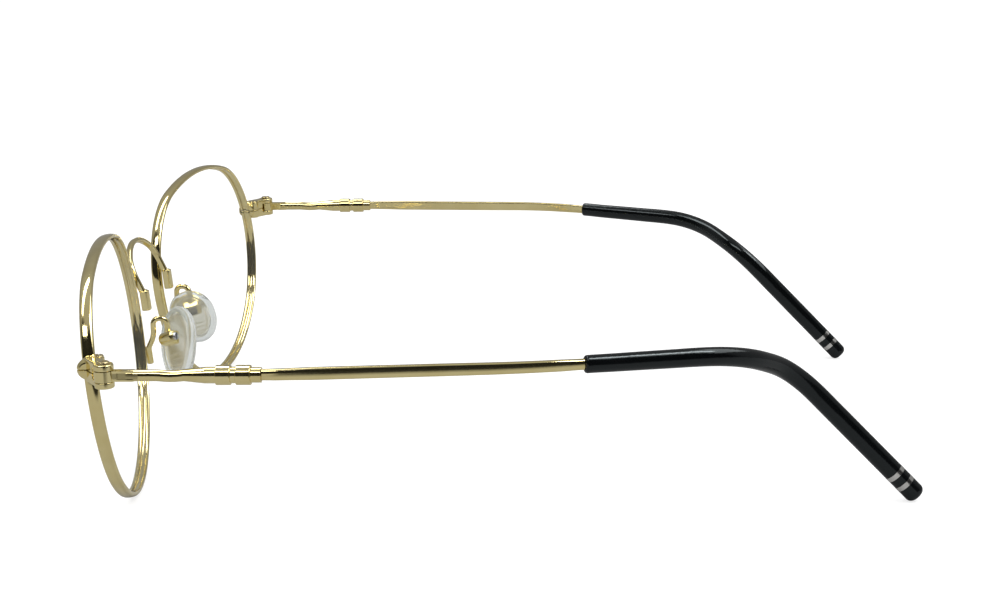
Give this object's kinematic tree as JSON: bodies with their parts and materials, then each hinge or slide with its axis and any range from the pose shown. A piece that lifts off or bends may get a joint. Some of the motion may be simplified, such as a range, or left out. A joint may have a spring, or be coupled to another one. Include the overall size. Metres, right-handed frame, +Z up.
{
  "type": "oval wire-rim eyeglasses",
  "caption": "Clear oval lenses in thin gold wire rims, with an arched bridge, clear nose pads on wire arms, and folding temples that end in black curved tips with silver rings.",
  "frame": {"origin": "middle of the footprint of the open glasses, on the surface that they stand on", "axes": "+X to the wearer's left, +Y from the lenses back along the temples, +Z up; the lenses face -Y"},
  "size_m": [0.1348, 0.1295, 0.0399],
  "materials": {
    "gold_frame": "polished gold plate",
    "gold_temple": "polished gold plate",
    "gold_screw": "polished gold plate",
    "lens": "clear, polished",
    "silver_screw": "bright",
    "silver_ring": "bright",
    "black_tip": "gloss black",
    "clear_pad": "clear, soft gloss",
    "pad_carrier": "clear, stiff"
  },
  "bodies": {
    "front": {"bridge_wire": "gold_frame", "rim_left": "gold_frame", "rim_right": "gold_frame", "lens_left": "lens", "lens_right": "lens", "bridge_barrel_left": "gold_frame", "bridge_barrel_right": "gold_frame", "pad_arm_left": "gold_frame", "pad_arm_right": "gold_frame", "pad_box_left": "gold_frame", "pad_box_right": "gold_frame", "pad_screw_left": "silver_screw", "pad_screw_right": "silver_screw", "lock_upper_left": "gold_frame", "lock_upper_right": "gold_frame", "lock_lower_left": "gold_frame", "lock_lower_right": "gold_frame", "closing_screw_left": "gold_screw", "closing_screw_right": "gold_screw", "hinge_screw_left": "gold_screw", "hinge_screw_right": "gold_screw"},
    "left_temple": {"temple_front_left": "gold_temple", "ferrule_left": "gold_temple", "temple_bar_left": "gold_temple", "temple_sleeve_left": "black_tip", "tip_rings_left": "silver_ring"},
    "right_temple": {"temple_front_right": "gold_temple", "ferrule_right": "gold_temple", "temple_bar_right": "gold_temple", "temple_sleeve_right": "black_tip", "tip_rings_right": "silver_ring"},
    "left_pad": {"nose_pad_left": "clear_pad", "pad_core_left": "pad_carrier"},
    "right_pad": {"nose_pad_right": "clear_pad", "pad_core_right": "pad_carrier"}
  },
  "joints": [
    {"name": "left_temple_fold", "type": "hinge", "parent": "front", "child": "left_temple", "pos_m": [0.066, -0.05266, 0.02698], "axis": [0, 0, 1], "range_deg": [0, 78]},
    {"name": "right_temple_fold", "type": "hinge", "parent": "front", "child": "right_temple", "pos_m": [-0.066, -0.05266, 0.02698], "axis": [0, 0, -1], "range_deg": [0, 72]},
    {"name": "left_pad_rock", "type": "hinge", "parent": "front", "child": "left_pad", "pos_m": [0.00889, -0.05698, 0.0177], "axis": [0.476, 0.8182, 0.3225], "range_deg": [-10, 10]},
    {"name": "right_pad_rock", "type": "hinge", "parent": "front", "child": "right_pad", "pos_m": [-0.00899, -0.05677, 0.01916], "axis": [-0.1484, 0.966, 0.2119], "range_deg": [-10, 10]}
  ]
}
